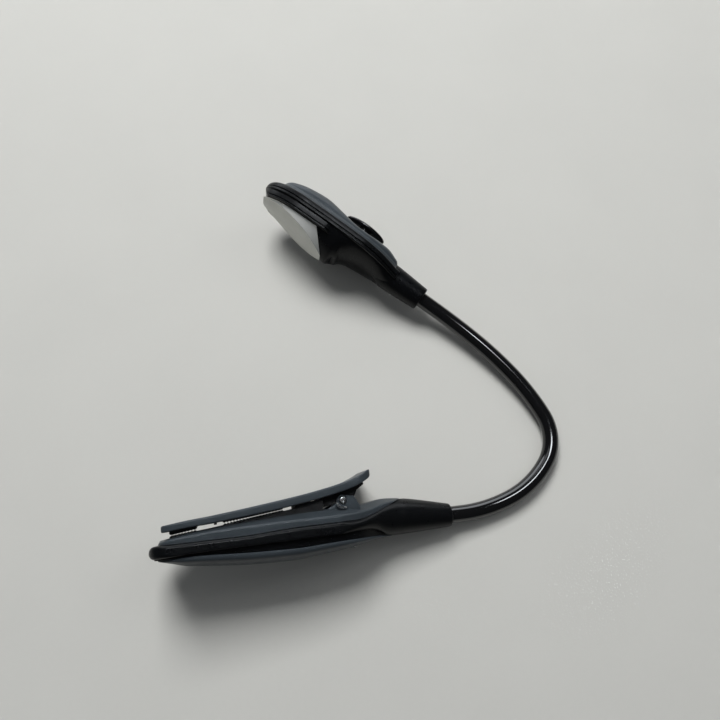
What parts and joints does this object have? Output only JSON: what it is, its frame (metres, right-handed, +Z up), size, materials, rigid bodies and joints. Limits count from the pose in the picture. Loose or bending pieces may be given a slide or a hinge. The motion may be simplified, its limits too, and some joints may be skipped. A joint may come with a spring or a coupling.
{
  "type": "clip-on book light",
  "caption": "Clip-on book light: sprung clip with a battery base, bendable neck and lamp head with a clear lens and a push button.",
  "frame": {"origin": "on the table, under the middle of the whole", "axes": "+Z up from the table, +X the clip's heading from its nose to the neck as seen from above, +Y towards the lamp head"},
  "size_m": [0.138, 0.1334, 0.0338],
  "materials": {
    "black_plastic": "satin black moulding",
    "slate_plastic": "satin slate grey moulding",
    "neck_gloss": "glossy black sleeve",
    "jaw_rubber": "matt black",
    "steel": "bright",
    "cell_steel": "bright can of the coin cells",
    "brass": "plain",
    "lead_insulation": "red insulation",
    "lens_clear": "clear wall with a frosted face",
    "white_plastic": "white reflector",
    "circuit_board": "green lacquer",
    "led_epoxy": "clear epoxy over yellow phosphor",
    "switch_plastic": "plain black",
    "button_gloss": "glossy black"
  },
  "bodies": {
    "clip": {"base_housing": "black_plastic", "clip_plate": "slate_plastic", "plate_jaw": "jaw_rubber", "battery_cover": "slate_plastic", "battery_cover_screw": "steel", "coin_cell_front": "cell_steel", "coin_cell_rear": "cell_steel", "contact_front": "brass", "contact_rear": "brass", "contact_bridge": "brass", "hinge_pin": "steel", "torsion_spring": "steel", "plate_screw_upper": "steel", "plate_screw_lower": "steel", "plate_screw_rear": "steel", "base_ferrule": "brass", "neck_sheath_root": "neck_gloss", "neck_spine_root": "steel", "neck_leads_root": "lead_insulation"},
    "lever": {"lever_shell": "slate_plastic", "lever_jaw": "jaw_rubber"},
    "neck_link_1": {"neck_sheath_1": "neck_gloss", "neck_spine_1": "steel", "neck_leads_1": "lead_insulation"},
    "neck_link_2": {"neck_sheath_2": "neck_gloss", "neck_spine_2": "steel", "neck_leads_2": "lead_insulation"},
    "neck_link_3": {"neck_sheath_3": "neck_gloss", "neck_spine_3": "steel", "neck_leads_3": "lead_insulation"},
    "neck_link_4": {"neck_sheath_4": "neck_gloss", "neck_spine_4": "steel", "neck_leads_4": "lead_insulation"},
    "neck_link_5": {"neck_sheath_5": "neck_gloss", "neck_spine_5": "steel", "neck_leads_5": "lead_insulation"},
    "neck_link_6": {"neck_sheath_6": "neck_gloss", "neck_spine_6": "steel", "neck_leads_6": "lead_insulation"},
    "head": {"neck_sheath_tip": "neck_gloss", "neck_spine_tip": "steel", "neck_leads_tip": "lead_insulation", "head_frame": "black_plastic", "head_cover": "slate_plastic", "lens": "lens_clear", "reflector": "white_plastic", "led_board": "circuit_board", "led_front": "led_epoxy", "led_rear": "led_epoxy", "head_ferrule": "brass", "board_screw": "steel", "tact_switch": "switch_plastic", "board_resistor": "switch_plastic"},
    "button": {"power_button": "button_gloss"}
  },
  "joints": [
    {"name": "lever_hinge", "type": "hinge", "parent": "clip", "child": "lever", "pos_m": [-0.00943, -0.05015, 0.01341], "axis": [-0.1735, 0.1444, -0.9742], "range_deg": [0, 22], "stiffness_Nm_per_rad": 0.3, "springref_deg": -20.05, "deforming": ["torsion_spring"]},
    {"name": "neck_curl_1", "type": "hinge", "parent": "clip", "child": "neck_link_1", "pos_m": [0.03034, -0.05852, 0.00508], "axis": [0.1735, -0.1444, 0.9742], "range_deg": [-40, 12]},
    {"name": "neck_tilt_2", "type": "hinge", "parent": "neck_link_1", "child": "neck_link_2", "pos_m": [0.0479, -0.0555, 0.00348], "axis": [0.3255, -0.9294, -0.1741], "range_deg": [-25, 25]},
    {"name": "neck_curl_3", "type": "hinge", "parent": "neck_link_2", "child": "neck_link_3", "pos_m": [0.06246, -0.04531, 0.0031], "axis": [0.1692, -0.0861, 0.9818], "range_deg": [-40, 12]},
    {"name": "neck_tilt_4", "type": "hinge", "parent": "neck_link_3", "child": "neck_link_4", "pos_m": [0.06523, -0.02835, 0.00325], "axis": [0.9172, 0.357, -0.1767], "range_deg": [-25, 25]},
    {"name": "neck_curl_5", "type": "hinge", "parent": "neck_link_4", "child": "neck_link_5", "pos_m": [0.0571, -0.01236, 0.00422], "axis": [0.1662, 0.0481, 0.9849], "range_deg": [-40, 12]},
    {"name": "neck_tilt_6", "type": "hinge", "parent": "neck_link_5", "child": "neck_link_6", "pos_m": [0.04634, 0.00203, 0.00506], "axis": [0.7482, 0.644, -0.1595], "range_deg": [-25, 25]},
    {"name": "neck_curl_7", "type": "hinge", "parent": "neck_link_6", "child": "head", "pos_m": [0.03399, 0.01496, 0.0069], "axis": [0.2179, -0.0009, 0.976], "range_deg": [-40, 12]},
    {"name": "button_press", "type": "slide", "parent": "head", "child": "button", "axis": [-0.681, -0.7323, -0.0001], "range_m": [0, 0.0007], "stiffness_N_per_m": 200}
  ]
}
